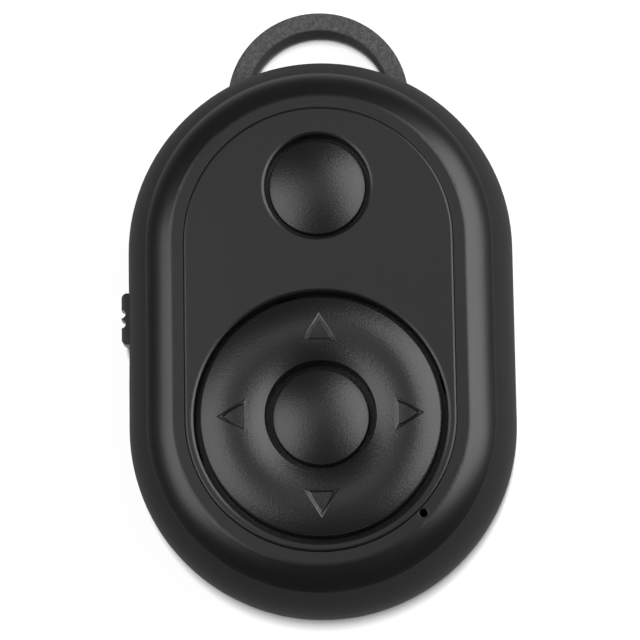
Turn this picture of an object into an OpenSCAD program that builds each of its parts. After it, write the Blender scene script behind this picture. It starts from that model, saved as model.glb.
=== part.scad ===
// Pocket camera remote with a rounded two-part housing, a raised face plate, a shutter button,
// a rocking four-way ring round a centre button, a power slider and a moulded strap loop.
// It lies on its back: X runs across it, Y towards the strap loop and Z out of its face.
// Lengths are in millimetres and angles in degrees.

/* [Housing] */
// Width across the two flanks
body_width = 39; // [38:0.5:42]
// Length of the straight flanks between the two rounded ends
body_straight = 18; // [17:0.5:22]
// Room between the circuit board and the inside of the face
button_room = 3.5; // [3.4:0.1:3.8]
// How far the flank's rounding would rise above the face if it weren't cut off there
crease_drop = 0.22; // [0.18:0.02:0.4]
// Height of the upright band below the line where the two shells meet
back_land = 0.3; // [0.2:0.05:0.6]
// Radius that softens the crease
crease_round = 1.2; // [0.6:0.1:1.6]
// Bevel on each shell where the two meet
seam_bevel = 0.06; // [0.02:0.01:0.1]
// Thickness of both shells
wall = 1.6; // [1.5:0.1:1.7]
// Gap between pieces that are glued, pressed or clipped together
seat_gap = 0.05; // [0.02:0.01:0.08]
// Gap round pieces that slide or turn on each other
running_gap = 0.1; // [0.06:0.01:0.14]

/* [Shell lip] */
// Thickness of the rear shell's lip
lip_width = 0.75; // [0.6:0.05:0.8]
// Height of the lip above the parting line
lip_height = 1; // [0.8:0.1:1.2]
// Radius of the snap bead on the lip
bead_radius = 0.18; // [0.1:0.02:0.22]

/* [Strap loop] */
// Outer radius of the loop
loop_radius = 9.3; // [9:0.1:9.6]
// Reach of the loop past the end of the housing
loop_reach = 5.9; // [5.9:0.05:6.6]
// Width of the loop's band at its top
loop_band = 1.85; // [1.6:0.05:1.85]
// Radius of the loop's opening
loop_hole_radius = 7.3; // [7.1:0.05:7.4]
// Thickness of the loop
loop_thickness = 3; // [2.6:0.1:3.4]
// Height of the loop's underside above the back
loop_height = 1.4; // [1:0.1:1.6]
// Radius where the loop flares into the housing
loop_flare = 1.8; // [1.4:0.1:2.2]
// Bevel on the loop's edges
loop_bevel = 0.12; // [0.08:0.01:0.3]

/* [Face plate] */
// Width of the housing's face and flank beside the plate
plate_margin = 6.05; // [5.95:0.05:6.2]
// Thickness of the plate
plate_thickness = 1; // [0.8:0.1:1.1]
// How far the plate stands proud of the housing
plate_rise = 0.2; // [0.1:0.05:0.3]
// Width of the shallow bevel on the plate's edge
plate_bevel = 0.16; // [0.08:0.01:0.2]
// Drop of that bevel
plate_bevel_drop = 0.08; // [0.04:0.01:0.12]
// Width of the sloping rim round the plate's two holes
rim_width = 0.25; // [0.15:0.05:0.35]
// Drop of that rim
rim_drop = 0.12; // [0.06:0.01:0.2]

/* [Shutter button] */
// Distance of the button's middle from the end of the plate
shutter_inset = 8.05; // [7.5:0.1:8.2]
// Diameter of the button
shutter_diameter = 9.7; // [9.2:0.1:10]
// Gap between the button and its hole, below the hole's sloping rim
shutter_gap = 0.45; // [0.35:0.05:0.6]
// Depth of the button's rim below the plate
shutter_sink = 0.85; // [0.7:0.05:1]
// Rise of the button's crown above its rim
button_crown = 0.75; // [0.5:0.05:0.9]
// Rounding of the button's rim
button_round = 0.12; // [0.08:0.02:0.4]
// Width of the flange that keeps a button in
button_flange = 0.75; // [0.6:0.05:0.8]
// How far a button is pressed
button_travel = 0.35; // [0.2:0.05:0.4]

/* [Four-way ring] */
// Width of the plate and the gap beside the ring
ring_margin = 1.45; // [1.35:0.05:1.6]
// Diameter of the hole for the centre button
ring_hole = 11; // [10.8:0.1:11.4]
// Gap between the ring and the housing, below the hole's sloping rim
ring_gap = 0.6; // [0.5:0.05:0.7]
// Gap between the ring and the centre button
centre_gap = 0.7; // [0.5:0.05:0.8]
// Height of the ring's edges above the plate
ring_rise = 0.3; // [0.1:0.05:0.4]
// Rise of the ring's crown above its edges
ring_crown = 0.65; // [0.5:0.05:0.9]
// Rounding of the ring's outer edge
ring_round = 0.3; // [0.2:0.05:0.4]
// Rounding of the ring's inner edge
ring_inner_round = 0.12; // [0.08:0.02:0.3]
// Thickness of the ring's inner and outer skirts
ring_skirt = 1; // [0.8:0.1:1.1]
// Reach of the flange that keeps the ring in, past the ring's side
ring_flange = 1.5; // [1.4:0.05:1.6]
// How far the ring tips each way
ring_tip = 1.6; // [1:0.1:1.7]
// Depth of the centre button's rim below the ring's inner edge
centre_sink = 1.1; // [0.9:0.05:1.2]

/* [Arrow marks] */
// Width of an arrow across its base
arrow_width = 3.2; // [2.4:0.1:3.6]
// Length of an arrow from base to point
arrow_length = 2.7; // [2:0.1:3]
// Depth of the arrows below the crown
arrow_depth = 0.12; // [0.08:0.01:0.2]

/* [Power slider] */
// Place of the middle of the slider's travel along the housing
slider_y = 1.25; // [0:0.05:2]
// Length of the knob
knob_length = 5.3; // [5:0.1:5.8]
// Height of the knob
knob_height = 2; // [1.8:0.1:2.3]
// How far the knob stands out of the flank
knob_rise = 0.7; // [0.6:0.05:0.9]
// How far the knob slides
slider_travel = 2; // [1.5:0.1:2.2]
// Gap round the knob in its slot
slot_gap = 0.2; // [0.15:0.05:0.25]
// Length of the finger scoop in the flank
scoop_length = 12.9; // [12:0.1:14]
// Depth of the finger scoop
scoop_depth = 0.13; // [0.1:0.01:0.3]

/* [Status light] */
// Diameter of the pinhole
light_hole = 0.72; // [0.6:0.02:0.9]
// Distance of the pinhole from the plate's edge
light_margin = 0.55; // [0.5:0.05:0.7]
// Direction of the pinhole from the middle of the ring
light_angle = -44.7; // [-50:0.1:-40]

/* [Battery and door] */
// Diameter of the coin cell
cell_diameter = 20; // [19.7:0.1:20]
// Thickness of the coin cell
cell_thickness = 3.2; // [2.9:0.1:3.3]
// Gap round the cell inside the door's collar
cell_gap = 0.2; // [0.1:0.05:0.3]
// Room between the cell and the board for the spring leaf
contact_room = 1.2; // [1.1:0.05:1.4]
// Thickness of the door under the cell
door_thickness = 1.2; // [1.1:0.05:1.3]
// Thickness of the door's rim
door_rim = 0.7; // [0.6:0.05:0.75]
// Width of the rim's ledge past the door's collar
door_ledge = 1.3; // [1.2:0.05:1.4]
// Thickness of the door's collar
collar_thickness = 0.7; // [0.6:0.05:0.75]
// Height of the bayonet lugs
lug_height = 0.7; // [0.6:0.05:0.8]
// Reach of the bayonet lugs past the collar
lug_reach = 1; // [0.9:0.05:1.1]
// Angle that each lug spans
lug_angle = 24; // [18:1:26]
// Turn that frees the door
door_turn = 45; // [42:1:48]
// Radius of the coin that fits the door's slot
coin_radius = 14; // [12:0.5:16]
// Width of the coin slot
coin_slot = 1.7; // [1.4:0.1:2]
// Depth of the coin slot
coin_depth = 0.7; // [0.5:0.05:0.8]

/* [Circuit board] */
// Gap between the board's edge and the shells
board_margin = 1.1; // [1:0.05:1.2]
// Thickness of the board
board_thickness = 1; // [0.8:0.1:1]
// Height of the board's underside above the parting line
board_lift = 0.1; // [0.1:0.05:0.2]
// Distance of the two screws from the middle line
screw_x = 11.5; // [11:0.1:11.8]
// Distance of the two screws from the middle of the housing
screw_y = 9; // [8.4:0.1:9.4]
// Radius of a screw's shank
screw_radius = 0.75; // [0.6:0.05:0.8]

/* [Hidden] */
$fn = 96;
overrun = 1;
half_width = body_width / 2;
half_straight = body_straight / 2;
body_length = body_width + body_straight;
ring_y = -half_straight;
cell_bottom = door_thickness;
cell_top = cell_bottom + cell_thickness;
board_bottom = cell_top + contact_room;
board_top = board_bottom + board_thickness;
parting_height = board_bottom - board_lift;
ceiling = board_top + button_room;
body_depth = ceiling + wall;
front_radius = body_depth - parting_height + crease_drop;
back_radius = parting_height - back_land;
front_x = half_width - front_radius;
back_x = half_width - back_radius;
inner_width = half_width - wall;
lip_reach = inner_width + lip_width;
plate_radius = half_width - plate_margin;
plate_top = body_depth + plate_rise;
plate_bottom = plate_top - plate_thickness;
board_half_width = inner_width - board_margin;
flare_root_share = 0.8;

// Pads and snap domes under the buttons
pad_room = 1.6;
pad_top = ceiling - pad_room;
pad_skin = 0.4;
pad_radius = 3.7;
pad_top_radius = 2.1;
pad_foot = 0.5;
dome_radius = 2;
dome_rise = button_travel;
dome_skin = 0.1;
nub_radius = 1;
nub_gap = 0.04;

// Buttons
stem_radius = 1.5;
cap_skin = 1;
flange_thickness = 0.75;
key_width = 1.2;
key_gap = 0.2;
key_depth = 1.4;
shutter_y = half_straight + plate_radius - shutter_inset;
shutter_flange_top = ceiling - seat_gap;
centre_diameter = ring_hole - 2 * centre_gap;
shutter_hole = shutter_diameter + 2 * shutter_gap;

// Ring
ring_radius = plate_radius - ring_margin;
ring_aperture = ring_radius + ring_gap;
ring_edge = plate_top + ring_rise;
ring_crest = ring_edge + ring_crown;
ring_half_band = (ring_radius - ring_hole / 2) / 2;
ring_crest_radius = ring_hole / 2 + ring_half_band;
ring_crown_radius = (pow(ring_half_band, 2) + pow(ring_crown, 2)) / (2 * ring_crown);
ring_flange_radius = ring_radius + ring_flange;
ring_flange_lift = ring_flange_radius * sin(ring_tip * sqrt(2)) + running_gap;
ring_flange_top = ceiling - ring_flange_lift;
ring_flange_bottom = ring_flange_top - flange_thickness;
centre_flange_top = ring_flange_top;
centre_keep_lift = ring_hole * sin(ring_tip * sqrt(2)) + running_gap;
ring_inner_bottom = centre_flange_top + centre_keep_lift / sqrt(2);
ring_skin = 0.65;
ring_roof = ring_edge - ring_skin;
leg_radius = 1.2;
ring_key_angle = 15;
arrow_radius = ring_crest_radius;
arrow_lean = 60;
arrow_block = 4 * arrow_width;

// Power switch
switch_length = 6.6;
switch_depth = 2.7;
switch_height = 1.4;
switch_inset = 0.2;
lever_width = 1.3;
lever_height = 0.7;
lever_root = 0.8;
knob_y = slider_y + slider_travel / 2;
knob_round = 0.6;
knob_notch = 0.42;
knob_notch_pitch = 1.03;
knob_plate = 0.5;
knob_plate_gap = 0.4;
slot_length = knob_length + slider_travel + 2 * slot_gap;
slot_height = knob_height + 2 * slot_gap;
scoop_y = slider_y / 2;
scoop_radius = (pow(scoop_length / 2, 2) + pow(scoop_depth, 2)) / (2 * scoop_depth);
switch_top = board_bottom;
lever_z = switch_top - switch_height / 2;

// Battery bay
cell_radius = cell_diameter / 2;
collar_radius = cell_radius + cell_gap + collar_thickness;
door_radius = collar_radius + door_ledge;
recess_radius = door_radius + running_gap;
recess_depth = door_rim + running_gap;
opening_radius = collar_radius + running_gap;
lug_radius = collar_radius + lug_reach;
door_bevel = 0.12;
lug_bottom = wall + running_gap;
lug_top = lug_bottom + lug_height;
notch_radius = lug_radius + 2 * running_gap;
notch_spare_angle = 2;
stop_angle = 4;
cell_edge = 0.25;
cell_cap_inset = 1.1;
cell_cap_height = 0.35;
contact_skin = 0.3;
clip_span_angle = 30;
clip_foot = 2;
leaf_width = 3;
leaf_foot_start = 7.5;
leaf_foot_end = 4.5;
leaf_tip = -2;

// Posts and screws
post_radius = 1.2;
post_gap = 0.8;
post_angle = 60;
post_reach = max(ring_flange_radius, notch_radius) + post_gap + post_radius;
post_x = post_reach * cos(post_angle);
post_y = half_straight + post_reach * sin(post_angle);
boss_radius = 1.6;
screw_head_radius = 1.35;
screw_head_height = 0.8;
screw_length = 2.9;
screw_slot = 0.35;

// Parts on the board
chip_size = 5;
chip_height = 0.85;
chip_gap = 1.4;
chip_x = chip_gap + chip_size / 2 + boss_radius - screw_x;
ring_pad_spread = dome_radius + pad_foot;
ring_pad_end = ring_y + arrow_radius + ring_pad_spread;
chip_y = (ring_pad_end + shutter_y - pad_radius) / 2;
crystal_length = 3.2;
crystal_width = 2.5;
crystal_height = 0.7;
crystal_x = 4.2;
passive_length = 1;
passive_width = 0.5;
passive_pitch = 1.2;
led_length = 1.6;
led_width = 0.8;
led_height = 0.6;

light_bevel = 0.1;
light_radius = plate_radius + light_margin;
light_x = light_radius * cos(light_angle);
light_y = ring_y + light_radius * sin(light_angle);

// Carries half a cross section round the housing's outline of two half circles and two straights
module around() {
    for (turn = [0, 180])
        rotate([0, 0, turn])
            translate([0, half_straight, 0])
                rotate_extrude(angle = 180)
                    children();
    rotate([90, 0, 0])
        linear_extrude(2 * half_straight, center = true) {
            children();
            mirror([1, 0])
                children();
        }
}

// Half the front shell's cross section as a solid form, moved in by inset
module front_form(inset, bottom) {
    intersection() {
        union() {
            translate([front_x, parting_height])
                circle(r = front_radius - inset);
            translate([0, parting_height - overrun])
                square([front_x, front_radius + overrun]);
        }
        translate([0, bottom])
            square([half_width, body_depth - inset - bottom]);
    }
}

// What is taken off the crease, between the flat face and the round flank
module crease_cut() {
    reach = front_radius - crease_round;
    rise = body_depth - crease_round - parting_height;
    run = sqrt(pow(reach, 2) - pow(rise, 2));
    depth = crease_round + overrun;
    translate([front_x + run, parting_height + rise])
        difference() {
            polygon([[0, 0], [0, depth], [run * depth / reach, rise * depth / reach]]);
            circle(r = crease_round);
        }
}

// The small bevel that each shell has at the outside of the seam
module seam_cut() {
    translate([half_width, parting_height])
        rotate(45)
            square(sqrt(2) * seam_bevel, center = true);
}

// Half the rear shell's cross section as a solid form, moved in by inset
module rear_form(inset, top) {
    intersection() {
        union() {
            translate([back_x, back_radius])
                circle(r = back_radius - inset);
            square([back_x, top]);
            translate([0, back_radius])
                square([half_width - inset, top - back_radius]);
        }
        translate([0, inset])
            square([half_width, top - inset]);
    }
}

// A disc whose two edges are bevelled
module bevelled_disc(radius, thickness, bevel) {
    rotate_extrude()
        polygon([
            [0, 0], [radius - bevel, 0], [radius, bevel],
            [radius, thickness - bevel], [radius - bevel, thickness], [0, thickness]
        ]);
}

// A cutter for a through hole whose two edges are bevelled
module bevelled_hole(radius, thickness, bevel) {
    flare = radius + bevel + overrun;
    rotate_extrude()
        polygon([
            [0, -overrun], [flare, -overrun], [radius, bevel],
            [radius, thickness - bevel], [flare, thickness + overrun], [0, thickness + overrun]
        ]);
}

// A hole from below that opens into a sloping rim at the face
module faced_hole(radius, bottom, face, width, drop) {
    translate([0, 0, bottom])
        cylinder(r = radius, h = face - bottom + overrun);
    translate([0, 0, face - drop])
        cylinder(r1 = radius, r2 = radius + 2 * width, h = 2 * drop);
}

// The slot that both shells leave for the power knob, and the shallow finger scoop round it
module slider_cut() {
    translate([-half_width - overrun, slider_y - slot_length / 2, parting_height - slot_height / 2])
        cube([wall + 2 * overrun, slot_length, slot_height]);
    translate([scoop_depth - half_width - scoop_radius, scoop_y, 0])
        cylinder(r = scoop_radius, h = body_depth, $fn = 360);
}

// The strap loop: a band between two circles, flared where it joins the housing
module strap_loop() {
    loop_y = body_length / 2 + loop_reach - loop_radius;
    hole_y = body_length / 2 + loop_reach - loop_band - loop_hole_radius;
    apart = loop_y - half_straight;
    foot_z = loop_height + loop_bevel;
    end_radius = back_x + sqrt(pow(back_radius, 2) - pow(back_radius - foot_z, 2));
    near_reach = loop_radius + loop_flare;
    far_reach = end_radius + loop_flare;
    rise = (pow(apart, 2) + pow(far_reach, 2) - pow(near_reach, 2)) / (2 * apart);
    flare_centre = [sqrt(pow(far_reach, 2) - pow(rise, 2)), half_straight + rise];
    loop_centre = [0, loop_y];
    end_centre = [0, half_straight];
    loop_touch = loop_centre + (flare_centre - loop_centre) * loop_radius / near_reach;
    end_touch = end_centre + (flare_centre - end_centre) * end_radius / far_reach;
    difference() {
        union() {
            translate([0, loop_y, loop_height])
                bevelled_disc(loop_radius, loop_thickness, loop_bevel);
            for (side = [0, 1])
                mirror([side, 0, 0])
                    translate([0, 0, loop_height + loop_bevel])
                        linear_extrude(loop_thickness - 2 * loop_bevel)
                            difference() {
                                polygon([
                                    flare_centre, loop_touch,
                                    loop_centre + (loop_touch - loop_centre) * flare_root_share,
                                    end_centre + (end_touch - end_centre) * flare_root_share, end_touch
                                ]);
                                translate(flare_centre)
                                    circle(r = loop_flare);
                            }
        }
        translate([0, hole_y, loop_height])
            bevelled_hole(loop_hole_radius, loop_thickness, loop_bevel);
    }
}

// Three copies of a ring sector, spaced round the battery door
module door_sectors(start, angle, inner, outer, bottom, height) {
    for (turn = [0 : 120 : 240])
        translate([0, ring_y, 0])
            rotate([0, 0, turn + start])
                rotate_extrude(angle = angle)
                    translate([inner, bottom])
                        square([outer - inner, height]);
}

module rear_shell() {
    lip_top = parting_height + lip_height;
    color([0.16, 0.16, 0.165]) {
        difference() {
            union() {
                around()
                    difference() {
                        union() {
                            rear_form(0, parting_height);
                            translate([back_x, back_radius])
                                square([lip_reach - back_x, lip_top - back_radius]);
                            translate([lip_reach, parting_height + lip_height / 2])
                                circle(r = bead_radius, $fn = 24);
                        }
                        rear_form(wall, lip_top + overrun);
                        seam_cut();
                    }
                difference() {
                    strap_loop();
                    around()
                        rear_form(wall / 2, parting_height);
                }
            }
            translate([0, ring_y, -overrun])
                cylinder(r = recess_radius, h = recess_depth + overrun);
            translate([0, ring_y, 0])
                cylinder(r = opening_radius, h = wall + overrun);
            door_sectors(
                -lug_angle / 2 - notch_spare_angle - door_turn, lug_angle + 2 * notch_spare_angle,
                opening_radius - overrun, notch_radius, 0, wall + overrun
            );
            slider_cut();
        }
        intersection() {
            for (x = [-post_x, post_x], y = [-post_y, post_y])
                translate([x, y, wall - seat_gap])
                    cylinder(r = post_radius, h = board_bottom - wall + seat_gap);
            around()
                rear_form(wall / 2, body_depth);
        }
        for (start = [lug_angle / 2 + notch_spare_angle / 2,
                -door_turn - lug_angle / 2 - 2 * notch_spare_angle - stop_angle])
            door_sectors(
                start, stop_angle, opening_radius + running_gap, notch_radius - running_gap,
                wall - seat_gap, lug_height
            );
    }
}

module front_shell() {
    color([0.11, 0.11, 0.115])
        difference() {
            union() {
                around()
                    difference() {
                        front_form(0, parting_height);
                        front_form(wall, parting_height - overrun);
                        translate([0, parting_height - overrun])
                            square([lip_reach + seat_gap, lip_height + overrun + seat_gap]);
                        translate([lip_reach, parting_height + lip_height / 2])
                            circle(r = bead_radius + seat_gap, $fn = 24);
                        crease_cut();
                        seam_cut();
                    }
                for (side = [-1, 1]) {
                    translate([side * screw_x, screw_y, board_top])
                        cylinder(r = boss_radius, h = ceiling - board_top + seat_gap);
                    intersection() {
                        translate([side * post_x, -post_y, board_top])
                            cylinder(r = post_radius, h = ceiling - board_top);
                        around()
                            front_form(wall / 2, parting_height);
                    }
                    translate([
                        side * (shutter_hole / 2 + key_depth) - key_depth / 2,
                        shutter_y - key_width / 2, ceiling - key_depth
                    ])
                        cube([key_depth, key_width, key_depth + seat_gap]);
                }
                for (turn = [0 : 90 : 270])
                    translate([0, ring_y, 0])
                        rotate([0, 0, turn + ring_key_angle])
                            translate([ring_aperture + key_gap, -key_width / 2, ceiling - key_depth])
                                cube([key_depth, key_width, key_depth + seat_gap]);
            }
            translate([0, 0, plate_bottom])
                linear_extrude(plate_thickness + overrun)
                    plate_outline(plate_radius + seat_gap);
            translate([0, ring_y, 0])
                cylinder(r = ring_aperture, h = body_depth + overrun);
            translate([0, shutter_y, 0])
                cylinder(r = shutter_hole / 2, h = body_depth + overrun);
            translate([light_x, light_y, 0])
                faced_hole(light_hole / 2, parting_height, body_depth, light_bevel, light_bevel);
            for (side = [-1, 1])
                translate([side * screw_x, screw_y, board_top - overrun])
                    cylinder(r = screw_radius + seat_gap, h = screw_length + overrun);
            slider_cut();
        }
}

// The plate's outline: a straight between two half circles
module plate_outline(radius) {
    square([2 * radius, 2 * half_straight], center = true);
    for (side = [-1, 1])
        translate([0, side * half_straight])
            circle(r = radius);
}

module face_plate() {
    color([0.17, 0.17, 0.175])
        difference() {
            around()
                polygon([
                    [0, plate_bottom], [plate_radius, plate_bottom],
                    [plate_radius, plate_top - plate_bevel_drop],
                    [plate_radius - plate_bevel, plate_top], [0, plate_top]
                ]);
            translate([0, ring_y, 0])
                faced_hole(ring_aperture, parting_height, plate_top, rim_width, rim_drop);
            translate([0, shutter_y, 0])
                faced_hole(shutter_hole / 2, parting_height, plate_top, rim_width, rim_drop);
        }
}

// Cuts a tangent rounding between an upright edge at x and an arc above it
module edge_cutter(x, arc_x, arc_z, arc_radius, rounding) {
    side = x > arc_x ? 1 : -1;
    corner_x = x - side * rounding;
    corner_z = arc_z + sqrt(pow(arc_radius - rounding, 2) - pow(corner_x - arc_x, 2));
    lean = [corner_x - arc_x, corner_z - arc_z] / (arc_radius - rounding);
    reach = 3 * rounding;
    translate([corner_x, corner_z])
        difference() {
            polygon([[0, 0], lean * reach, lean * reach + [side * reach, 0], [side * reach, 0]]);
            circle(r = rounding, $fn = 48);
        }
}

// A round button with a low crown, a flange under the face and a stem that rests on its pad
module press_button(diameter, rim, flange_top, flange_radius) {
    radius = diameter / 2;
    crown_radius = (pow(radius, 2) + pow(button_crown, 2)) / (2 * button_crown);
    crown_z = rim + button_crown - crown_radius;
    rotate_extrude()
        difference() {
            intersection() {
                translate([0, crown_z])
                    circle(r = crown_radius, $fn = 360);
                translate([0, pad_top])
                    square([flange_radius, crown_radius]);
            }
            translate([radius, flange_top])
                square([flange_radius, crown_radius]);
            translate([stem_radius, pad_top - overrun])
                square([flange_radius, flange_top - flange_thickness - pad_top + overrun]);
            translate([stem_radius, flange_top - flange_thickness - overrun])
                square([
                    radius - cap_skin - stem_radius,
                    rim - cap_skin - flange_top + flange_thickness + overrun
                ]);
            edge_cutter(radius, 0, crown_z, crown_radius, button_round);
        }
}

module shutter_button() {
    flange_radius = shutter_hole / 2 + button_flange;
    color([0.08, 0.08, 0.085])
        difference() {
            translate([0, shutter_y, 0])
                press_button(shutter_diameter, plate_top - shutter_sink, shutter_flange_top, flange_radius);
            for (side = [-1, 1])
                translate([
                    side * (shutter_hole / 2 + key_depth - key_gap) - key_depth / 2 - key_gap / 2,
                    shutter_y - key_width / 2 - key_gap, shutter_flange_top - 2 * flange_thickness
                ])
                    cube([key_depth + key_gap, key_width + 2 * key_gap, 3 * flange_thickness]);
        }
}

module centre_button() {
    color([0.08, 0.08, 0.085])
        translate([0, ring_y, 0])
            press_button(
                centre_diameter, ring_edge - centre_sink, centre_flange_top, ring_hole / 2 + button_flange
            );
}

// Half the ring's crowned section, dropped by a depth
module ring_section(drop) {
    intersection() {
        translate([ring_crest_radius, ring_crest - ring_crown_radius - drop])
            circle(r = ring_crown_radius, $fn = 360);
        translate([ring_hole / 2, ring_inner_bottom])
            square([2 * ring_half_band, ring_crest - ring_inner_bottom]);
    }
}

// A sunken arrow that points outward, its three walls leaning in towards its floor
module arrow_sink() {
    tip_angle = atan(arrow_width / 2 / arrow_length);
    intersection() {
        translate([-arrow_length / 2, 0])
            arrow_wall(-90);
        translate([arrow_length / 2, 0])
            arrow_wall(tip_angle);
        translate([arrow_length / 2, 0])
            arrow_wall(180 - tip_angle);
    }
}

// All that lies to the left of a leaning wall that runs through the origin
module arrow_wall(direction) {
    rotate([0, 0, direction])
        rotate([arrow_lean, 0, 0])
            translate([-arrow_block / 2, 0, -arrow_block / 2])
                cube(arrow_block);
}

module four_way_ring() {
    color([0.08, 0.08, 0.085])
        translate([0, ring_y, 0])
            difference() {
                union() {
                    rotate_extrude()
                        difference() {
                            union() {
                                ring_section(0);
                                translate([ring_radius - ring_skirt, ring_flange_bottom])
                                    square([ring_skirt, ring_edge - ring_flange_bottom - ring_round]);
                                translate([ring_radius - ring_skirt, ring_flange_bottom])
                                    square([ring_skirt + ring_flange, flange_thickness]);
                            }
                            translate([ring_hole / 2 + ring_skirt, ring_flange_bottom - overrun])
                                square([
                                    2 * (ring_half_band - ring_skirt),
                                    ring_roof - ring_flange_bottom + overrun
                                ]);
                            edge_cutter(
                                ring_radius, ring_crest_radius, ring_crest - ring_crown_radius,
                                ring_crown_radius, ring_round
                            );
                            edge_cutter(
                                ring_hole / 2, ring_crest_radius, ring_crest - ring_crown_radius,
                                ring_crown_radius, ring_inner_round
                            );
                        }
                    for (turn = [0 : 90 : 270])
                        rotate([0, 0, turn])
                            translate([arrow_radius, 0, pad_top])
                                cylinder(r = leg_radius, h = ring_roof - pad_top + seat_gap);
                }
                difference() {
                    for (turn = [0 : 90 : 270])
                        rotate([0, 0, turn])
                            translate([arrow_radius, 0, ring_crest])
                                arrow_sink();
                    rotate_extrude()
                        ring_section(arrow_depth);
                }
                for (turn = [0 : 90 : 270])
                    rotate([0, 0, turn + ring_key_angle])
                        translate([
                            ring_aperture - key_gap / 2, -key_width / 2 - 2 * key_gap,
                            ring_flange_bottom - overrun
                        ])
                            cube([ring_flange, key_width + 4 * key_gap, flange_thickness + 2 * overrun]);
            }
}

// The knob's outline from above: a bar with two rounded outer corners and two grip notches
module knob_outline(length, depth, rounding) {
    difference() {
        union() {
            translate([rounding, -length / 2])
                square([depth - rounding, length]);
            translate([0, rounding - length / 2])
                square([depth, length - 2 * rounding]);
            for (side = [-1, 1])
                translate([rounding, side * (length / 2 - rounding)])
                    circle(r = rounding, $fn = 48);
        }
        children();
    }
}

module power_knob() {
    outer_x = -half_width - knob_rise;
    plate_x = -inner_width + knob_plate_gap;
    reach = plate_x - outer_x;
    plate_length = knob_length + 2 * slider_travel;
    color([0.07, 0.07, 0.075])
        difference() {
            union() {
                intersection() {
                    translate([outer_x, knob_y, parting_height - knob_height / 2])
                        linear_extrude(knob_height)
                            knob_outline(knob_length, reach + knob_plate / 2, knob_round)
                                for (side = [-1, 1])
                                    translate([0, side * knob_notch_pitch / 2])
                                        circle(r = knob_notch, $fn = 32);
                    translate([outer_x, knob_y + knob_length / 2, parting_height])
                        rotate([90, 0, 0])
                            linear_extrude(knob_length)
                                knob_outline(knob_height, reach + knob_plate / 2, knob_round / 2);
                }
                translate([plate_x, knob_y - plate_length / 2, parting_height - knob_height / 2])
                    cube([knob_plate, plate_length, knob_height]);
            }
            translate([
                plate_x - lever_width - seat_gap, knob_y - lever_width / 2 - seat_gap,
                lever_z - lever_height / 2 - seat_gap
            ])
                cube([
                    lever_width + knob_plate + overrun,
                    lever_width + 2 * seat_gap, lever_height + 2 * seat_gap
                ]);
        }
}

module switch_lever() {
    outer_x = knob_plate_gap - inner_width - lever_width;
    root_x = switch_inset - board_half_width + lever_root;
    color([0.05, 0.05, 0.05])
        translate([outer_x, knob_y - lever_width / 2, lever_z - lever_height / 2])
            cube([root_x - outer_x, lever_width, lever_height]);
}

module switch_body() {
    mouth = lever_root + running_gap;
    color([0.75, 0.76, 0.78])
        translate([switch_inset - board_half_width, slider_y, switch_top - switch_height])
            difference() {
                translate([0, -switch_length / 2, 0])
                    cube([switch_depth, switch_length, switch_height]);
                translate([
                    -overrun, -(slider_travel + lever_width) / 2 - running_gap,
                    (switch_height - lever_height) / 2 - running_gap
                ])
                    cube([
                        mouth + overrun, slider_travel + lever_width + 2 * running_gap,
                        lever_height + 2 * running_gap
                    ]);
            }
}

module battery_door() {
    color([0.16, 0.16, 0.165])
        difference() {
            union() {
                translate([0, ring_y, 0])
                    rotate_extrude()
                        polygon([
                            [0, 0], [door_radius - door_bevel, 0], [door_radius, door_bevel],
                            [door_radius, door_rim], [collar_radius, door_rim], [collar_radius, lug_top],
                            [collar_radius - collar_thickness, lug_top],
                            [collar_radius - collar_thickness, door_thickness], [0, door_thickness]
                        ]);
                door_sectors(
                    -lug_angle / 2, lug_angle, collar_radius - collar_thickness / 2, lug_radius,
                    lug_bottom, lug_height
                );
            }
            translate([0, ring_y, coin_depth - coin_radius])
                rotate([90, 0, 0])
                    cylinder(r = coin_radius, h = coin_slot, center = true, $fn = 180);
        }
}

// A silicone bump that stands on the board over a snap dome and carries a button's stem
module button_pad() {
    roof = pad_top - pad_skin;
    rotate_extrude() {
        polygon([
            [pad_radius - pad_foot, board_top], [pad_radius, board_top],
            [pad_top_radius + pad_skin / 2, pad_top], [0, pad_top],
            [0, roof], [pad_top_radius - pad_skin / 2, roof]
        ]);
        translate([0, board_top + dome_rise + nub_gap])
            square([nub_radius, roof - board_top - dome_rise - nub_gap + seat_gap]);
    }
}

module shutter_pad() {
    color([0.72, 0.72, 0.7])
        translate([0, shutter_y, 0])
            button_pad();
}

module centre_pad() {
    color([0.72, 0.72, 0.7])
        translate([0, ring_y, 0])
            button_pad();
}

// A silicone channel ring under the four-way ring, with a nub over each of its four domes
module ring_pad() {
    roof = pad_top - pad_skin;
    spread = ring_pad_spread;
    crown = leg_radius + seat_gap;
    color([0.72, 0.72, 0.7])
        translate([0, ring_y, 0]) {
            rotate_extrude()
                translate([arrow_radius, 0])
                    polygon([
                        [-spread, board_top], [pad_foot - spread, board_top], [-crown, roof],
                        [crown, roof], [spread - pad_foot, board_top], [spread, board_top],
                        [crown + pad_skin, pad_top], [-crown - pad_skin, pad_top]
                    ]);
            for (turn = [0 : 90 : 270])
                rotate([0, 0, turn])
                    translate([arrow_radius, 0, board_top + dome_rise + nub_gap])
                        cylinder(r = nub_radius, h = roof - board_top - dome_rise - nub_gap + seat_gap);
        }
}

// A thin steel dome that stands on the board and snaps through under its pad
module snap_dome() {
    sphere_radius = (pow(dome_radius, 2) + pow(dome_rise, 2)) / (2 * dome_rise);
    rotate_extrude()
        difference() {
            intersection() {
                translate([0, board_top + dome_rise - sphere_radius])
                    circle(r = sphere_radius, $fn = 360);
                translate([0, board_top])
                    square([dome_radius, dome_rise]);
            }
            translate([0, board_top + dome_rise - sphere_radius])
                circle(r = sphere_radius - dome_skin, $fn = 360);
        }
}

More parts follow.
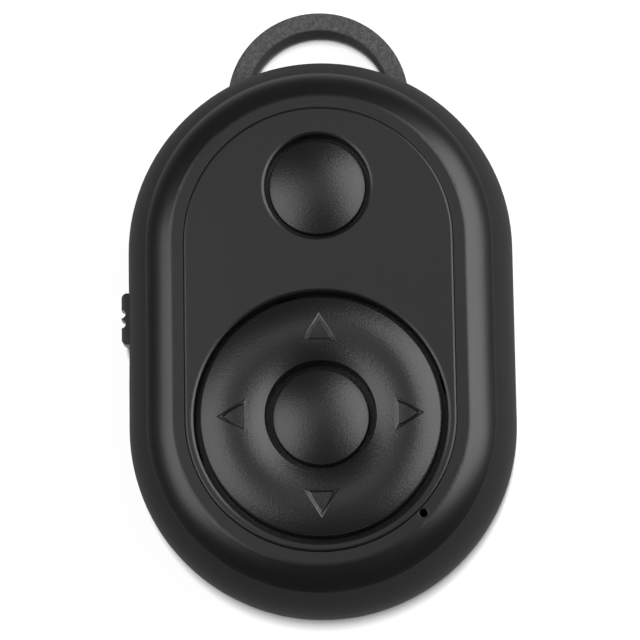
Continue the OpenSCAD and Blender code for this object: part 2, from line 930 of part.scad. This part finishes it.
module snap_domes() {
    color([0.8, 0.8, 0.82]) {
        for (y = [shutter_y, ring_y])
            translate([0, y, 0])
                snap_dome();
        for (turn = [0 : 90 : 270])
            translate([0, ring_y, 0])
                rotate([0, 0, turn])
                    translate([arrow_radius, 0, 0])
                        snap_dome();
    }
}

module circuit_board() {
    color([0.05, 0.3, 0.16])
        difference() {
            translate([0, 0, board_bottom])
                linear_extrude(board_thickness)
                    plate_outline(board_half_width);
            for (side = [-1, 1])
                translate([side * screw_x, screw_y, 0])
                    cylinder(r = screw_radius + running_gap, h = board_top + overrun);
        }
}

// Two pan-head screws that hold the board to the front shell's bosses
module board_screws() {
    color([0.7, 0.7, 0.72])
        for (side = [-1, 1])
            translate([side * screw_x, screw_y, 0])
                difference() {
                    union() {
                        translate([0, 0, board_bottom - screw_head_height])
                            cylinder(r = screw_head_radius, h = screw_head_height);
                        translate([0, 0, board_bottom])
                            cylinder(r = screw_radius, h = board_thickness + screw_length - seat_gap);
                    }
                    for (turn = [0, 90])
                        rotate([0, 0, turn])
                            translate([0, 0, board_bottom - screw_head_height])
                                cube([screw_head_radius, screw_slot, screw_head_height], center = true);
                }
}

// A flat packaged part that stands on the board
module board_part(x, y, length, width, height) {
    translate([x - length / 2, y - width / 2, board_top])
        cube([length, width, height]);
}

module radio_chip() {
    color([0.06, 0.06, 0.06])
        board_part(chip_x, chip_y, chip_size, chip_size, chip_height);
}

module crystal() {
    color([0.8, 0.8, 0.82])
        board_part(crystal_x, chip_y, crystal_length, crystal_width, crystal_height);
}

// Capacitors and resistors in two short rows beside the chip and the crystal
module chip_parts() {
    color([0.55, 0.42, 0.28])
        for (row = [0 : 3]) {
            board_part(
                chip_x + chip_size / 2 + passive_length, chip_y + (row - 1.5) * passive_pitch,
                passive_length, passive_width, passive_width
            );
            board_part(
                crystal_x + crystal_length / 2 + passive_length, chip_y + (row - 1.5) * passive_pitch,
                passive_length, passive_width, passive_width
            );
        }
}

module status_led() {
    color([0.9, 0.92, 0.85])
        board_part(light_x, light_y, led_length, led_width, led_height);
}

// The coin cell, its can towards the door and its smaller cap towards the board
module coin_cell() {
    cap_radius = cell_radius - cell_cap_inset;
    can_top = cell_top - cell_cap_height;
    color([0.78, 0.79, 0.8])
        translate([0, ring_y, 0])
            rotate_extrude()
                polygon([
                    [0, cell_bottom], [cell_radius - cell_edge, cell_bottom],
                    [cell_radius, cell_bottom + cell_edge], [cell_radius, can_top - cell_edge],
                    [cell_radius - cell_edge, can_top], [cap_radius, can_top],
                    [cap_radius, cell_top - cell_edge / 2], [cap_radius - cell_edge / 2, cell_top],
                    [0, cell_top]
                ]);
}

// A clip on the board whose arm bears on the side of the cell
module positive_contact() {
    arm = cell_radius + seat_gap;
    arm_bottom = lug_top + contact_skin;
    foot_bottom = board_bottom - contact_skin;
    color([0.82, 0.76, 0.55])
        translate([0, ring_y, 0])
            rotate([0, 0, 90 - clip_span_angle / 2])
                rotate_extrude(angle = clip_span_angle)
                    polygon([
                        [arm, arm_bottom], [arm + contact_skin, arm_bottom],
                        [arm + contact_skin, foot_bottom], [arm + clip_foot, foot_bottom],
                        [arm + clip_foot, board_bottom], [arm, board_bottom]
                    ]);
}

// A bent leaf under the board that presses on the middle of the cell's cap
module negative_contact() {
    touch = cell_top + seat_gap;
    color([0.82, 0.76, 0.55])
        translate([0, ring_y + leaf_width / 2, 0])
            rotate([90, 0, 0])
                linear_extrude(leaf_width)
                    polygon([
                        [leaf_foot_start, board_bottom], [leaf_foot_start, board_bottom - contact_skin],
                        [leaf_foot_end, board_bottom - contact_skin], [0, touch],
                        [leaf_tip, touch + contact_skin], [leaf_tip, touch + 2 * contact_skin],
                        [0, touch + contact_skin], [leaf_foot_end, board_bottom]
                    ]);
}

rear_shell();
front_shell();
face_plate();
shutter_button();
four_way_ring();
centre_button();
power_knob();
switch_lever();
switch_body();
battery_door();
shutter_pad();
ring_pad();
centre_pad();
snap_domes();
circuit_board();
board_screws();
radio_chip();
crystal();
chip_parts();
status_led();
coin_cell();
positive_contact();
negative_contact();
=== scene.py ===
"""A pocket camera remote lying on its back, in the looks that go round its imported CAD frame."""

import math

import bpy
import bmesh
from mathutils import Matrix, Vector


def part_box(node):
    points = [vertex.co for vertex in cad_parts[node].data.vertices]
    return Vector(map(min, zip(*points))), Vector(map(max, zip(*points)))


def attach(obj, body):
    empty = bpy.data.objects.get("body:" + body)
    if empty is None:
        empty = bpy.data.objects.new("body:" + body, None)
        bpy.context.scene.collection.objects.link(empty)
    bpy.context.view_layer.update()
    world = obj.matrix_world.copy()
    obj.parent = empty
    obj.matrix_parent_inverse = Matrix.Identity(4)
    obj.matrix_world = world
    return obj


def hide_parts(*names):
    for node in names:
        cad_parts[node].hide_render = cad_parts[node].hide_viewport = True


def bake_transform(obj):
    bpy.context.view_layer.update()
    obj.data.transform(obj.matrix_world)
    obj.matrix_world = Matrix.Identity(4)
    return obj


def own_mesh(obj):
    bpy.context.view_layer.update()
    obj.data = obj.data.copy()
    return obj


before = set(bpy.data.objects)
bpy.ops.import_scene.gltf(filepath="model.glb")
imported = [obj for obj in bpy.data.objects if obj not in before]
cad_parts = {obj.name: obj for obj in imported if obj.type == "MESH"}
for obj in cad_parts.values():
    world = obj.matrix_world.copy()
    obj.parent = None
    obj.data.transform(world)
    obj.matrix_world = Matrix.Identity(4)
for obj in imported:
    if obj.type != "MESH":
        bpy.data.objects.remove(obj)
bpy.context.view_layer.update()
scene = bpy.context.scene
scene.view_settings.view_transform = "Standard"
mm = 0.001

# The photographer's place: above the face and a little towards the bottom end, with a long lens.
# The lens and the tilt come from the round holes' ellipses and from the loop's height above them.
camera_distance = 350 * mm
camera_tilt = 0.186
camera_swing = 0.034
camera_roll = 0.016
lens_focal = 194.95
sensor_width = 36
shift_sideways = -0.0022
shift_upwards = 0.0272
nearest_seen = 10 * mm
farthest_seen = 10000 * mm
aim = Vector((0, 0, 6 * mm))

right = Vector((math.cos(camera_swing), 0, -math.sin(camera_swing)))
back = Vector((
    math.sin(camera_swing) * math.cos(camera_tilt), -math.sin(camera_tilt),
    math.cos(camera_swing) * math.cos(camera_tilt),
))
up = back.cross(right)
rolled_right = right * math.cos(camera_roll) - up * math.sin(camera_roll)
rolled_up = up * math.cos(camera_roll) + right * math.sin(camera_roll)
camera = bpy.data.objects.new("camera", bpy.data.cameras.new("camera"))
scene.collection.objects.link(camera)
camera.data.lens = lens_focal
camera.data.sensor_width = sensor_width
camera.data.shift_x = shift_sideways
camera.data.shift_y = shift_upwards
camera.data.clip_start = nearest_seen
camera.data.clip_end = farthest_seen


def stand(holder, side, length_way, backward, place):
    """Puts a camera or a lamp at its place, with its own three directions given."""
    holder.matrix_world = Matrix((
        (side.x, length_way.x, backward.x, place.x),
        (side.y, length_way.y, backward.y, place.y),
        (side.z, length_way.z, backward.z, place.z),
        (0, 0, 0, 1),
    ))


stand(camera, rolled_right, rolled_up, back, aim + back * camera_distance)
scene.camera = camera

# A sheet of paper under the remote. Its own lamp lights it to white for the camera and in every gloss or
# glass, and that lamp's shadow of the remote shows on it. Its dull bounce is kept low, so that little
# light comes up at the remote, as in a cut-out studio shot.
paper_size = 4000 * mm
paper_gap = 0.05 * mm
paper_shown = 0.25
paper_bounce = 0.04


def reckon(tree, operation, *values):
    """Works out a sum in a material from numbers and other nodes' results, and gives its result."""
    node = tree.nodes.new("ShaderNodeMath")
    node.operation = operation
    for socket, value in zip(node.inputs, values):
        if isinstance(value, float):
            socket.default_value = value
        else:
            tree.links.new(value, socket)
    return node.outputs["Value"]


def mixed(tree, share, first, second):
    """Mixes two colours by a share and gives the result."""
    node = tree.nodes.new("ShaderNodeMix")
    node.data_type = "RGBA"
    node.inputs["A"].default_value = (*first, 1)
    node.inputs["B"].default_value = (*second, 1)
    tree.links.new(share, node.inputs["Factor"])
    return node.outputs["Result"]


bm = bmesh.new()
bmesh.ops.create_grid(bm, x_segments=1, y_segments=1, size=paper_size)
bmesh.ops.translate(bm, verts=bm.verts, vec=(0, 0, -paper_gap))
floor = bpy.data.objects.new("floor", bpy.data.meshes.new("floor"))
bm.to_mesh(floor.data)
bm.free()
scene.collection.objects.link(floor)
paper = bpy.data.materials.new("white_paper")
paper.use_nodes = True
tree = paper.node_tree
shader = tree.nodes["Principled BSDF"]
shader.inputs["Roughness"].default_value = 1
shader.inputs["Specular IOR Level"].default_value = 0
ray = tree.nodes.new("ShaderNodeLightPath").outputs
in_gloss = reckon(tree, "MAXIMUM", ray["Is Glossy Ray"], ray["Is Transmission Ray"])
in_sight = reckon(tree, "MAXIMUM", ray["Is Camera Ray"], in_gloss)
paper_shade = mixed(tree, in_sight, [paper_bounce] * 3, [paper_shown] * 3)
tree.links.new(paper_shade, shader.inputs["Base Color"])
floor.data.materials.append(paper)

# Two long softboxes stand beside the remote, the right one brighter and turned a little to the loop's
# end, and a dim one hangs over it. A softbox as bright as 1 shines like white paper in plain light.
softbox_distance = 500 * mm


def softbox(name, azimuth, lean, width, length, brightness, distance=softbox_distance):
    """A flat lamp that faces the remote from an azimuth, leaning so many degrees from straight above."""
    lamp = bpy.data.lights.new(name, "AREA")
    lamp.shape = "RECTANGLE"
    lamp.size, lamp.size_y = width, length
    lamp.energy = brightness * math.pi * width * length
    holder = bpy.data.objects.new(name, lamp)
    scene.collection.objects.link(holder)
    turn, fall = math.radians(azimuth), math.radians(lean)
    backward = Vector((math.sin(fall) * math.cos(turn), math.sin(fall) * math.sin(turn), math.cos(fall)))
    length_way = Vector((-math.sin(turn), math.cos(turn), 0))
    stand(holder, length_way.cross(backward), length_way, backward, aim + backward * distance)
    return holder


softbox("right_softbox", azimuth=20, lean=41, width=445 * mm, length=500 * mm, brightness=3.3)
softbox("left_softbox", azimuth=181, lean=35.5, width=335 * mm, length=360 * mm, brightness=2.7)
softbox("top_softbox", azimuth=140, lean=12, width=120 * mm, length=260 * mm, brightness=0.7)

# One long lamp high over the paper lights nothing else. It takes the paper to white round the remote
# and leaves the thin shadow that shows under the bottom end. A faint room light fills in all round.
paper_lamp_distance = 4000 * mm
room_light = 0.02
shadow_lamp = softbox(
    "paper_lamp", azimuth=270, lean=1.2, width=1100 * mm, length=133 * mm, brightness=1250,
    distance=paper_lamp_distance,
)
paper_only = bpy.data.collections.new("paper_only")
paper_only.objects.link(floor)
shadow_lamp.light_linking.receiver_collection = paper_only

world = bpy.data.worlds.new("studio")
scene.world = world
world.use_nodes = True
world.node_tree.nodes["Background"].inputs["Color"].default_value = (1, 1, 1, 1)
world.node_tree.nodes["Background"].inputs["Strength"].default_value = room_light

# Rear shell: black ABS in one moulding with the strap loop, out of a spark-eroded mould, so its outside
# and the loop carry a dull grain that the smooth front shell lacks. It snaps into the front shell.
shell_black = (0.1, 0.1, 0.102)
shell_roughness = 0.85
shell_gloss = 0.15
spark_grain = 0.3 * mm
spark_depth = 0.05 * mm
mould_edge = 0.07 * mm
mould_patch = 9 * mm
mould_wander = 0.03


def started(name):
    """Starts a material. Gives it with its nodes, its shader and each point's place on the piece."""
    material = bpy.data.materials.new(name)
    material.use_nodes = True
    tree = material.node_tree
    place = tree.nodes.new("ShaderNodeTexCoord").outputs["Object"]
    return material, tree, tree.nodes["Principled BSDF"], place


def clouds(tree, place, size, detail=2, roughness=0.5):
    """An uneven pattern of patches of a size, from 0 to 1."""
    node = tree.nodes.new("ShaderNodeTexNoise")
    node.inputs["Scale"].default_value = 1 / size
    node.inputs["Detail"].default_value = detail
    node.inputs["Roughness"].default_value = roughness
    tree.links.new(place, node.inputs["Vector"])
    return node.outputs["Fac"]


def spread(tree, value, low=0, high=1, start=0, stop=1, smooth=False):
    """Maps a value that runs from start to stop on to low to high, and holds it there past the ends."""
    node = tree.nodes.new("ShaderNodeMapRange")
    if smooth:
        node.interpolation_type = "SMOOTHSTEP"
    node.inputs["From Min"].default_value = start
    node.inputs["From Max"].default_value = stop
    node.inputs["To Min"].default_value = low
    node.inputs["To Max"].default_value = high
    tree.links.new(value, node.inputs["Value"])
    return node.outputs["Result"]


def relief(tree, height, depth, under=None):
    """Lets a pattern from 0 to 1 shade as a relief of a depth, on top of another relief if one is given."""
    node = tree.nodes.new("ShaderNodeBump")
    node.inputs["Distance"].default_value = depth
    tree.links.new(height, node.inputs["Height"])
    if under:
        tree.links.new(under, node.inputs["Normal"])
    return node.outputs["Normal"]


def moulding(name, colour, roughness, specular, grain, depth, speckle=0.1, edge=mould_edge):
    """A moulded plastic: a grain in the mould's steel, patches where it came out a little duller, and
    edges that a mould can't leave sharp."""
    material, tree, shader, place = started(name)
    shader.inputs["Specular IOR Level"].default_value = specular
    softened = tree.nodes.new("ShaderNodeBevel")
    softened.name = "softened_edges"
    softened.samples = 6
    softened.inputs["Radius"].default_value = edge
    coarse = clouds(tree, place, grain, detail=4, roughness=0.6)
    grained = relief(tree, coarse, depth, softened.outputs["Normal"])
    grained.node.name = "grain"
    patches = clouds(tree, place, mould_patch, detail=3)
    dullness = spread(tree, patches, roughness - mould_wander, roughness + mould_wander)
    darker = [(1 - speckle) * share for share in colour]
    paler = [(1 + speckle) * share for share in colour]
    tree.links.new(grained, shader.inputs["Normal"])
    tree.links.new(dullness, shader.inputs["Roughness"])
    tree.links.new(mixed(tree, coarse, darker, paler), shader.inputs["Base Color"])
    return material


def dress(node, material):
    """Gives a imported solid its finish."""
    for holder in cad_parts[node].material_slots:
        holder.material = material


housing_grain = moulding(
    "grained_abs", shell_black, shell_roughness, shell_gloss, spark_grain, spark_depth, speckle=1
)
dress("rear_shell", housing_grain)

# Battery door: the same grained ABS, a disc with a coin slot, held by three bayonet lugs. It turns out
# an eighth of a turn.
dress("battery_door", housing_grain)

# Coin cell: a 20 mm lithium cell in a pressed steel can with nickel plating, whose faces were turned, so
# fine rings show on both. It lies in the well of the rear shell with its cap up.
cell_low, cell_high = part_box("coin_cell")
cell_middle = (cell_low + cell_high) / 2
can_nickel = (0.68, 0.69, 0.7)
can_roughness = 0.28
can_ring_pitch = 0.12 * mm
can_ring_depth = 0.001 * mm
handled_patch = 3 * mm
wave_turn_rate = 20


def plated(name, colour, roughness, pattern, pitch, depth, middle=(0, 0, 0)):
    """A bright plated metal: turned in rings round a middle, or brushed in bands, with patches of handling.
    At a scale of 1 the wave pattern turns by 20 radians in a metre."""
    material, tree, shader, place = started(name)
    shader.inputs["Base Color"].default_value = (*colour, 1)
    shader.inputs["Metallic"].default_value = 1
    centring = tree.nodes.new("ShaderNodeMapping")
    centring.inputs["Location"].default_value = [-share for share in middle]
    lines = tree.nodes.new("ShaderNodeTexWave")
    lines.wave_type = pattern
    lines.inputs["Scale"].default_value = math.tau / (wave_turn_rate * pitch)
    lines.inputs["Distortion"].default_value = 1.5
    lines.inputs["Detail"].default_value = 2
    patches = clouds(tree, place, handled_patch, detail=4)
    tree.links.new(place, centring.inputs["Vector"])
    tree.links.new(centring.outputs["Vector"], lines.inputs["Vector"])
    tree.links.new(relief(tree, lines.outputs["Fac"], depth), shader.inputs["Normal"])
    tree.links.new(spread(tree, patches, 0.7 * roughness, 1.3 * roughness), shader.inputs["Roughness"])
    return material


dress("coin_cell", plated(
    "nickelled_can", can_nickel, can_roughness, "RINGS", can_ring_pitch, can_ring_depth, cell_middle
))

# Battery contacts: gold-washed spring brass, stamped and bent. One clip bears on the cell's side and one
# leaf on its cap, and both are soldered to the board.
contact_brass = (0.72, 0.6, 0.32)
rolling_pitch = 0.05 * mm
rolling_depth = 0.0005 * mm
brass = plated(
    "spring_brass", contact_brass, roughness=0.3, pattern="BANDS", pitch=rolling_pitch, depth=rolling_depth
)
dress("positive_contact", brass)
dress("negative_contact", brass)

# Circuit board: glass epoxy under a green solder mask, through which the copper traces show a little
# lighter. Two screws hold it up against the front shell's bosses.
mask_green = (0.012, 0.13, 0.05)
trace_green = (0.03, 0.24, 0.09)
trace_pitch = 1.6 * mm
trace_width = 0.12 * mm
trace_rise = 0.03 * mm
board_green, tree, shader, place = started("solder_mask")
shader.inputs["Roughness"].default_value = 0.35
traces = tree.nodes.new("ShaderNodeTexBrick")
traces.inputs["Scale"].default_value = 1
traces.inputs["Brick Width"].default_value = 4 * trace_pitch
traces.inputs["Row Height"].default_value = trace_pitch
traces.inputs["Mortar Size"].default_value = trace_width
traces.inputs["Mortar Smooth"].default_value = 0
traces.inputs["Color1"].default_value = (*mask_green, 1)
traces.inputs["Color2"].default_value = (*mask_green, 1)
traces.inputs["Mortar"].default_value = (*trace_green, 1)
tree.links.new(place, traces.inputs["Vector"])
tree.links.new(traces.outputs["Color"], shader.inputs["Base Color"])
tree.links.new(relief(tree, traces.outputs["Fac"], trace_rise), shader.inputs["Normal"])
dress("circuit_board", board_green)

# Tinned small parts on the board: the two screws, the crystal's can and the body of the slide switch,
# which is a folded steel frame.
tin_grey = (0.62, 0.62, 0.64)
tin_pitch = 0.06 * mm
tin_depth = 0.0008 * mm
tinned = plated("tinned_steel", tin_grey, roughness=0.35, pattern="BANDS", pitch=tin_pitch, depth=tin_depth)
for small_part in ("board_screws", "crystal", "switch_body"):
    dress(small_part, tinned)

# Radio chip: black moulded epoxy with a dull face. The capacitors and resistors beside it are fired
# ceramic, and the switch's lever is plain black nylon.
epoxy_black = (0.02, 0.02, 0.021)
epoxy_grain = 0.08 * mm
epoxy_depth = 0.004 * mm
ceramic_tan = (0.35, 0.24, 0.14)
ceramic_grain = 0.1 * mm
nylon_black = (0.02, 0.02, 0.02)
nylon_grain = 0.2 * mm
fine_depth = 0.002 * mm
dress("radio_chip", moulding(
    "moulded_epoxy", epoxy_black, roughness=0.6, specular=0.5, grain=epoxy_grain, depth=epoxy_depth
))
dress("chip_parts", moulding(
    "fired_ceramic", ceramic_tan, roughness=0.45, specular=0.5, grain=ceramic_grain, depth=fine_depth
))
dress("switch_lever", moulding(
    "plain_nylon", nylon_black, roughness=0.5, specular=0.5, grain=nylon_grain, depth=fine_depth
))

# Status light: a chip cast in clear epoxy and soldered to the board under the pinhole. It is yellowish
# when it is off, from the phosphor inside.
lens_clear = (0.85, 0.87, 0.78)
lens_phosphor = (0.8, 0.78, 0.4)
lens_cloud = 0.4 * mm
led_lens, tree, shader, place = started("clear_epoxy")
shader.inputs["Transmission Weight"].default_value = 0.5
shader.inputs["Roughness"].default_value = 0.15
tint = mixed(tree, clouds(tree, place, lens_cloud), lens_clear, lens_phosphor)
tree.links.new(tint, shader.inputs["Base Color"])
dress("status_led", led_lens)

# Snap domes: bright stainless spring steel, stamped thin, which stand on the board under each button
# and click as they turn through.
stainless = (0.7, 0.7, 0.72)
dome_ring_pitch = 0.05 * mm
dome_ring_depth = 0.0003 * mm
dress("snap_domes", plated(
    "stainless_domes", stainless, roughness=0.2, pattern="RINGS", pitch=dome_ring_pitch, depth=dome_ring_depth
))

# Silicone pads: one under the shutter button and one under the centre button, compression moulded in
# translucent grey rubber. A thin cone carries the cap, folds as it is pressed, and its nub hits the dome.
cone_skin = 0.4 * mm
cone_foot = 0.5 * mm
cone_top_radius = 2.3 * mm
button_travel = 0.35 * mm
nub_radius = 1 * mm
nub_gap = 0.04 * mm
nub_steps = 48
pad_corner = 0.1 * mm
turn_steps = 96
silicone_dark = (0.58, 0.58, 0.56)
silicone_pale = (0.66, 0.66, 0.64)
silicone_light_depth = (0.8 * mm, 0.8 * mm, 0.7 * mm)
bloom_patch = 1.5 * mm
bloom_depth = 0.01 * mm

silicone, tree, shader, place = started("grey_silicone")
shader.inputs["Subsurface Weight"].default_value = 0.4
shader.inputs["Subsurface Radius"].default_value = silicone_light_depth
shader.inputs["Subsurface Scale"].default_value = 1
bloom = clouds(tree, place, bloom_patch, detail=5)
tree.links.new(mixed(tree, bloom, silicone_dark, silicone_pale), shader.inputs["Base Color"])
tree.links.new(spread(tree, bloom, 0.45, 0.65), shader.inputs["Roughness"])
tree.links.new(relief(tree, bloom, bloom_depth), shader.inputs["Normal"])


def turned(bm, outline, closed):
    """Spins an outline of (radius, height) points right round the Z axis, as one welded skin."""
    points = [bm.verts.new((radius, 0, height)) for radius, height in outline]
    edges = [bm.edges.new(pair) for pair in zip(points, points[1:])]
    if closed:
        edges.append(bm.edges.new((points[-1], points[0])))
    bmesh.ops.spin(
        bm, geom=points + edges, cent=(0, 0, 0), axis=(0, 0, 1), angle=2 * math.pi, steps=turn_steps,
        use_merge=True,
    )
    bmesh.ops.remove_doubles(bm, verts=bm.verts, dist=0.001 * mm)
    bmesh.ops.recalc_face_normals(bm, faces=bm.faces)


def soften(bm, corner):
    """Rounds every edge that turns by more than a quarter of a right angle."""
    sharp = [edge for edge in bm.edges if edge.is_manifold and edge.calc_face_angle() > math.pi / 8]
    bmesh.ops.bevel(
        bm, geom=sharp, offset=corner, affect="EDGES", segments=3, profile=0.5, material=-1,
        clamp_overlap=True,
    )


def finished(bm, name, place, material, node):
    """Sets a mesh at its place, smooths it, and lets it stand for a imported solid."""
    bmesh.ops.translate(bm, verts=bm.verts, vec=place)
    for face in bm.faces:
        face.smooth = True
    piece = bpy.data.objects.new(name, bpy.data.meshes.new(name))
    bm.to_mesh(piece.data)
    bm.free()
    piece.data.materials.append(material)
    scene.collection.objects.link(piece)
    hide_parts(node)
    return piece


def nub(bm, place, bottom, top):
    """A short round peg under a pad's roof, let a little into it."""
    peg = bmesh.ops.create_cone(
        bm, cap_ends=True, segments=nub_steps, radius1=nub_radius, radius2=nub_radius, depth=top - bottom
    )["verts"]
    bmesh.ops.translate(bm, verts=peg, vec=(place[0], place[1], (bottom + top) / 2))


for node, joint in (("shutter_pad", "shutter_press"), ("centre_pad", "centre_press")):
    low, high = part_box(node)
    foot_radius, board, crest = (high.x - low.x) / 2, low.z, high.z
    roof = crest - cone_skin
    bm = bmesh.new()
    turned(bm, [
        (0, crest), (cone_top_radius, crest), (foot_radius, board), (foot_radius - cone_foot, board),
        (cone_top_radius - cone_skin, roof), (0, roof),
    ], closed=False)
    soften(bm, pad_corner)
    nub(bm, (0, 0), board + button_travel + nub_gap, roof + pad_corner)
    middle = ((low.x + high.x) / 2, (low.y + high.y) / 2, 0)
    pad = finished(bm, node + "_rubber", middle, silicone, node)
    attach(pad, "housing")
    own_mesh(pad)

# Ring pad: the same rubber, moulded as a channel that runs round under the four-way ring. Its foot stays
# on the board while its crown rocks with the ring, and a nub over each of the four domes hits that dome.
low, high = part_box("ring_pad")
board, crest = low.z, high.z
ring_middle = (low + high) / 2
dome_circle = 8.75 * mm
spread_out = (high.x - low.x) / 2 - dome_circle
crown = 1.25 * mm
roof = crest - cone_skin
nub_bottom = board + button_travel + nub_gap
bm = bmesh.new()
turned(bm, [
    (dome_circle - spread_out, board), (dome_circle - spread_out + cone_foot, board),
    (dome_circle - crown, roof), (dome_circle + crown, roof),
    (dome_circle + spread_out - cone_foot, board), (dome_circle + spread_out, board),
    (dome_circle + crown + cone_skin, crest), (dome_circle - crown - cone_skin, crest),
], closed=True)
soften(bm, pad_corner)
for way in ((1, 0), (0, 1), (-1, 0), (0, -1)):
    nub(bm, (way[0] * dome_circle, way[1] * dome_circle), nub_bottom, roof + pad_corner)
middle = (ring_middle.x, ring_middle.y, 0)
pad = finished(bm, "ring_pad_rubber", middle, silicone, "ring_pad")
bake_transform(pad)

# Front shell: black ABS with a smooth satin finish on its face. Its flank is one wide rounding from the
# softened crease round the face down to the rear shell, and was left dull below the rounding's shoulder.
satin_black = (0.01, 0.01, 0.0103)
satin_roughness = 0.3
satin_gloss = 0.6
satin_grain = 0.25 * mm
satin_depth = 0.008 * mm
shell_edge = 0.12 * mm
satin_down_to = 10.3 * mm
dull_from = 10.2 * mm
flank_roughness = 0.85


def satin(name, depth, edge=mould_edge):
    """The satin ABS that the front shell, the plate, the caps and the ring share."""
    return moulding(name, satin_black, satin_roughness, satin_gloss, satin_grain, depth, edge=edge)


housing_satin = satin("satin_abs", satin_depth, shell_edge)
tree = housing_satin.node_tree
roughness = tree.nodes["Principled BSDF"].inputs["Roughness"]
height = tree.nodes.new("ShaderNodeSeparateXYZ")
tree.links.new(tree.nodes["Texture Coordinate"].outputs["Object"], height.inputs["Vector"])
duller = spread(
    tree, height.outputs["Z"], 0, flank_roughness - satin_roughness, satin_down_to, dull_from, smooth=True
)
tree.links.new(reckon(tree, "ADD", roughness.links[0].from_socket, duller), roughness)
dress("front_shell", housing_satin)

# Face plate: a flat satin ABS panel, glued into a shallow recess of the front shell. It has sloping rims
# round its two openings and a bevelled outer edge.
plate_edge = 0.16 * mm
dress("face_plate", satin("satin_panel", satin_depth, plate_edge))

# The shutter button and the centre button: satin ABS caps that stand on the silicone pads. Their satin is
# coarser than the housing's, for the thumb's grip, so their highlights have uneven borders.
grip_depth = 0.018 * mm
button_satin = satin("satin_caps", grip_depth)
for cap in ("shutter_button", "centre_button"):
    dress(cap, button_satin)

# Four-way ring: the same satin ABS. Its mould's arrows were polished, which left a thin soft lip round
# each sunken arrow, and that lip catches the light as a fine line.
arrow_width = 3.1 * mm
arrow_length = 2.55 * mm
lip_width = 0.14 * mm
lip_depth = 0.055 * mm


def arrow_lips(material, middle):
    """Slopes the shading down into the four arrows. The ring is folded into one eighth of itself, in which
    one half of one arrow is left: along it from the middle outwards, and across it."""
    tree = material.node_tree
    grain = tree.nodes["grain"]
    parts = tree.nodes.new("ShaderNodeSeparateXYZ")
    tree.links.new(tree.nodes["Texture Coordinate"].outputs["Object"], parts.inputs["Vector"])
    over = reckon(tree, "ABSOLUTE", reckon(tree, "SUBTRACT", parts.outputs["X"], middle.x))
    up_down = reckon(tree, "ABSOLUTE", reckon(tree, "SUBTRACT", parts.outputs["Y"], middle.y))
    along = reckon(tree, "MAXIMUM", over, up_down)
    across = reckon(tree, "MINIMUM", over, up_down)
    half_point = math.atan(arrow_width / 2 / arrow_length)
    past_point = reckon(tree, "SUBTRACT", along, dome_circle + arrow_length / 2)
    past_side = reckon(
        tree, "ADD", reckon(tree, "MULTIPLY", past_point, math.sin(half_point)),
        reckon(tree, "MULTIPLY", across, math.cos(half_point)),
    )
    past_base = reckon(tree, "SUBTRACT", dome_circle - arrow_length / 2, along)
    lip = spread(tree, reckon(tree, "MAXIMUM", past_side, past_base), stop=lip_width)
    softened = tree.nodes["softened_edges"].outputs["Normal"]
    tree.links.new(relief(tree, lip, lip_depth, softened), grain.inputs["Normal"])


ring_satin = satin("satin_ring", grip_depth)
arrow_lips(ring_satin, ring_middle)
dress("four_way_ring", ring_satin)

# Power knob: a small slider moulded in black ABS, with two grip notches. It sits in the left flank
# between the two shells and carries the switch's lever along.
knob_roughness = 0.4
knob_gloss = 0.5
knob_grain = 0.2 * mm
knob_depth = 0.004 * mm
dress("power_knob", moulding(
    "slider_abs", satin_black, knob_roughness, knob_gloss, knob_grain, knob_depth
))
